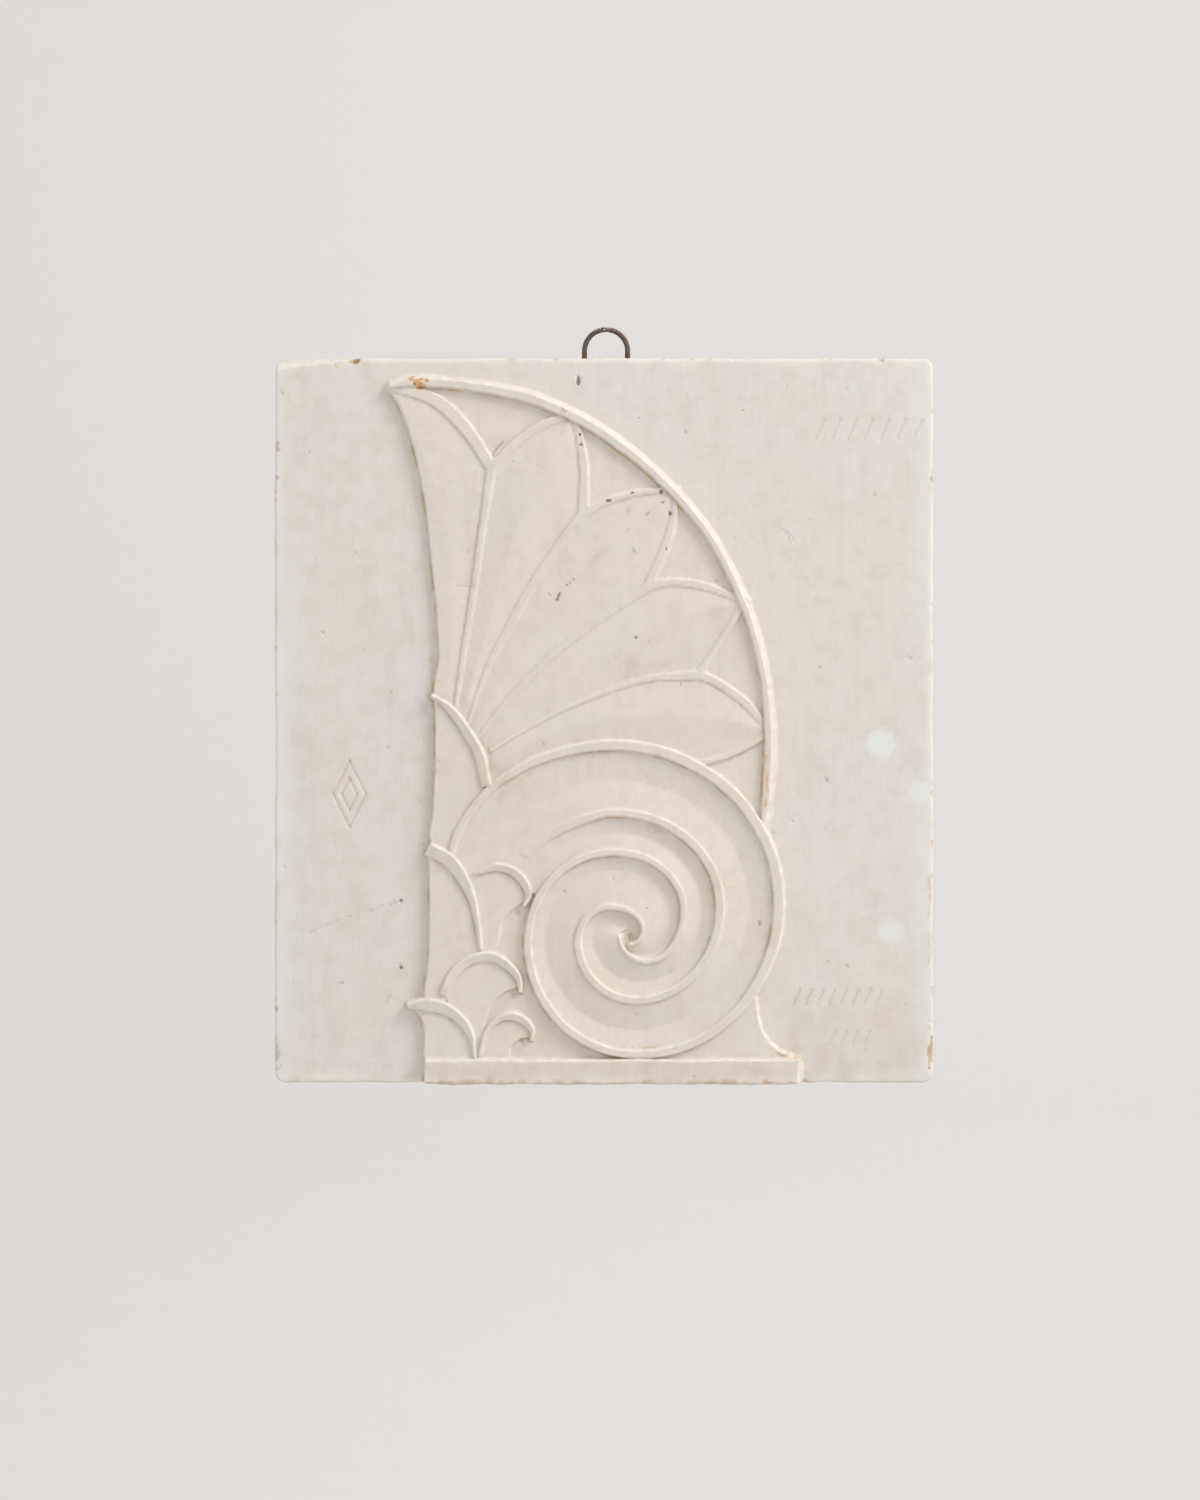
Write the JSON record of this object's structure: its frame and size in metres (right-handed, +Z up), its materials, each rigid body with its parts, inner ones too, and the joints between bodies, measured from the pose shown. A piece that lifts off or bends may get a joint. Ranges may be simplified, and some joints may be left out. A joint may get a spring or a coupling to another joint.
{
  "type": "decorative wall plaque",
  "caption": "Cast plaster relief plaque, a half palmette over a volute on a plain slab, with an iron wire loop in its top edge to hang it on a wall.",
  "frame": {"origin": "top of the inside of the wire loop, where a nail or hook carries the plaque", "axes": "+Z up, carved face towards -Y, +X to the right of someone facing the carving"},
  "size_m": [0.3, 0.032, 0.3471],
  "materials": {
    "plaster": "matte",
    "iron_wire": "satin"
  },
  "bodies": {
    "root": {"plaster_plaque": "plaster", "hanging_loop": "iron_wire"}
  },
  "joints": []
}
